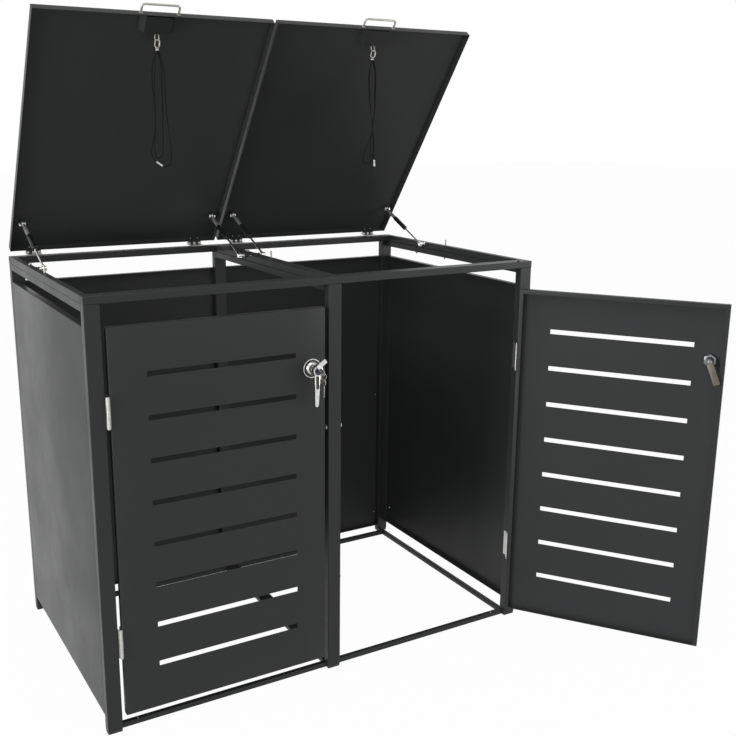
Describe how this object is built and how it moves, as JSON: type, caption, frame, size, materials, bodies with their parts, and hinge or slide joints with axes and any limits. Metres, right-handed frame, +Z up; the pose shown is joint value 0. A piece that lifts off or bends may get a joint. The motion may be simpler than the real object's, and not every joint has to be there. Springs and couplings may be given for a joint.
{
  "type": "wheelie_bin_store",
  "caption": "Powder-coated steel wheelie bin store with slotted locking doors on hinges, and lids on gas struts with a cord and snap hook under each",
  "frame": {"origin": "on the ground, under the middle of the frame", "axes": "+X to the right seen from the front, +Y to the rear wall, +Z up"},
  "size_m": [1.6969, 1.3474, 1.8677],
  "materials": {
    "anthracite": "fine-textured satin powder coat",
    "black_plastic": "matt moulded plastic",
    "rubber": "matt",
    "zinc": "bright zinc",
    "chrome": "polished",
    "strut_sleeve": "gloss black",
    "cord": "braided"
  },
  "bodies": {
    "frame": {"post_front_left": "anthracite", "post_front_middle": "anthracite", "post_front_right": "anthracite", "post_rear_left": "anthracite", "post_rear_middle": "anthracite", "post_rear_right": "anthracite", "foot_caps": "black_plastic", "top_rail_front": "anthracite", "top_rail_rear": "anthracite", "top_rail_left": "anthracite", "top_rail_right": "anthracite", "top_rail_middle": "anthracite", "second_rails": "anthracite", "bottom_rail_front": "anthracite", "bottom_rail_rear": "anthracite", "bottom_rails_depth": "anthracite", "side_panel_left": "anthracite", "side_panel_right": "anthracite", "rear_panel_left": "anthracite", "rear_panel_right": "anthracite", "rail_end_plugs": "black_plastic", "frame_bolts": "zinc", "door_hinge_post_leaves": "zinc", "lid_hinge_rail_leaves": "zinc", "hinge_pins": "zinc", "strut_rail_brackets": "zinc", "lid_bumpers": "rubber"},
    "door_left": {"door_panel_left": "anthracite", "door_hinge_leaves_left": "zinc", "lock_body_left": "chrome"},
    "lock_left": {"lock_handle_left": "chrome", "lock_cam_left": "chrome"},
    "cover_left": {"keyhole_cover_left": "chrome"},
    "key_left": {"lock_cylinder_and_keys": "chrome"},
    "door_right": {"door_panel_right": "anthracite", "door_hinge_leaves_right": "zinc", "lock_body_right": "chrome"},
    "lock_right": {"lock_handle_right": "chrome", "lock_cam_right": "chrome"},
    "cover_right": {"keyhole_cover_right": "chrome"},
    "lid_left": {"lid_panel_left": "anthracite", "lid_handle_left": "chrome", "handle_bracket_left": "anthracite", "lid_hinge_leaves_left": "zinc", "strut_lid_brackets_left": "zinc"},
    "lanyard_left": {"snap_hook_left": "chrome", "lanyard_cord_left": "cord", "lanyard_ferrule_left": "zinc"},
    "strut_tubes_left": {"strut_tubes_left": "strut_sleeve"},
    "strut_rods_left": {"strut_rods_left": "zinc"},
    "lid_right": {"lid_panel_right": "anthracite", "lid_handle_right": "chrome", "handle_bracket_right": "anthracite", "lid_hinge_leaves_right": "zinc", "strut_lid_brackets_right": "zinc"},
    "lanyard_right": {"snap_hook_right": "chrome", "lanyard_cord_right": "cord", "lanyard_ferrule_right": "zinc"},
    "strut_tubes_right": {"strut_tubes_right": "strut_sleeve"},
    "strut_rods_right": {"strut_rods_right": "zinc"}
  },
  "joints": [
    {"name": "door_left_swing", "type": "hinge", "parent": "frame", "child": "door_left", "pos_m": [-0.6345, -0.4115, 0.568], "axis": [0, 0, -1], "range_deg": [0, 175]},
    {"name": "door_right_swing", "type": "hinge", "parent": "frame", "child": "door_right", "pos_m": [0.6345, -0.4115, 0.568], "axis": [0, 0, 1], "range_deg": [-125.8, 49.2]},
    {"name": "lock_left_turn", "type": "hinge", "parent": "door_left", "child": "lock_left", "pos_m": [-0.075, -0.4275, 0.925], "axis": [0, -1, 0], "range_deg": [0, 90]},
    {"name": "lock_right_turn", "type": "hinge", "parent": "door_right", "child": "lock_right", "pos_m": [0.62803, -1.106, 0.925], "axis": [-0.8111, -0.585, 0], "range_deg": [-22, 68]},
    {"name": "cover_left_swivel", "type": "hinge", "parent": "lock_left", "child": "cover_left", "pos_m": [-0.075, -0.4515, 0.9365], "axis": [0, -1, 0], "range_deg": [-45, 60]},
    {"name": "cover_right_swivel", "type": "hinge", "parent": "lock_right", "child": "cover_right", "pos_m": [0.62551, -1.10251, 0.93566], "axis": [0.8111, 0.585, 0], "range_deg": [-45, 60]},
    {"name": "key_left_turn", "type": "hinge", "parent": "lock_left", "child": "key_left", "pos_m": [-0.075, -0.4515, 0.925], "axis": [0, 1, 0], "range_deg": [0, 90]},
    {"name": "lid_left_lift", "type": "hinge", "parent": "frame", "child": "lid_left", "pos_m": [-0.339, 0.427, 1.1735], "axis": [-1, 0, 0], "range_deg": [-53.45, 0]},
    {"name": "strut_tubes_left_turn", "type": "hinge", "parent": "lid_left", "child": "strut_tubes_left", "pos_m": [-0.339, 0.3591, 1.26694], "axis": [-1, 0, 0], "range_deg": [0, 74.27]},
    {"name": "strut_rods_left_slide", "type": "slide", "parent": "strut_tubes_left", "child": "strut_rods_left", "axis": [0, -0.91, -0.4147], "range_m": [-0.06979, 0]},
    {"name": "lanyard_left_swing", "type": "hinge", "parent": "lid_left", "child": "lanyard_left", "pos_m": [-0.339, -0.0273, 1.79523], "axis": [-1, 0, 0], "range_deg": [0, 53.45]},
    {"name": "lid_right_lift", "type": "hinge", "parent": "frame", "child": "lid_right", "pos_m": [0.339, 0.427, 1.1735], "axis": [-1, 0, 0], "range_deg": [-53.45, 0]},
    {"name": "strut_tubes_right_turn", "type": "hinge", "parent": "lid_right", "child": "strut_tubes_right", "pos_m": [0.339, 0.3591, 1.26694], "axis": [-1, 0, 0], "range_deg": [0, 74.27]},
    {"name": "strut_rods_right_slide", "type": "slide", "parent": "strut_tubes_right", "child": "strut_rods_right", "axis": [0, -0.91, -0.4147], "range_m": [-0.06979, 0]},
    {"name": "lanyard_right_swing", "type": "hinge", "parent": "lid_right", "child": "lanyard_right", "pos_m": [0.339, -0.0273, 1.79523], "axis": [-1, 0, 0], "range_deg": [0, 53.45]}
  ],
  "couplings": [
    {"joint": "strut_tubes_left_turn", "follows": "lid_left_lift", "ratio": -1.3895},
    {"joint": "strut_rods_left_slide", "follows": "lid_left_lift", "m_per_rad": 0.074816},
    {"joint": "lanyard_left_swing", "follows": "lid_left_lift", "ratio": -1},
    {"joint": "strut_tubes_right_turn", "follows": "lid_right_lift", "ratio": -1.3895},
    {"joint": "strut_rods_right_slide", "follows": "lid_right_lift", "m_per_rad": 0.074816},
    {"joint": "lanyard_right_swing", "follows": "lid_right_lift", "ratio": -1}
  ]
}
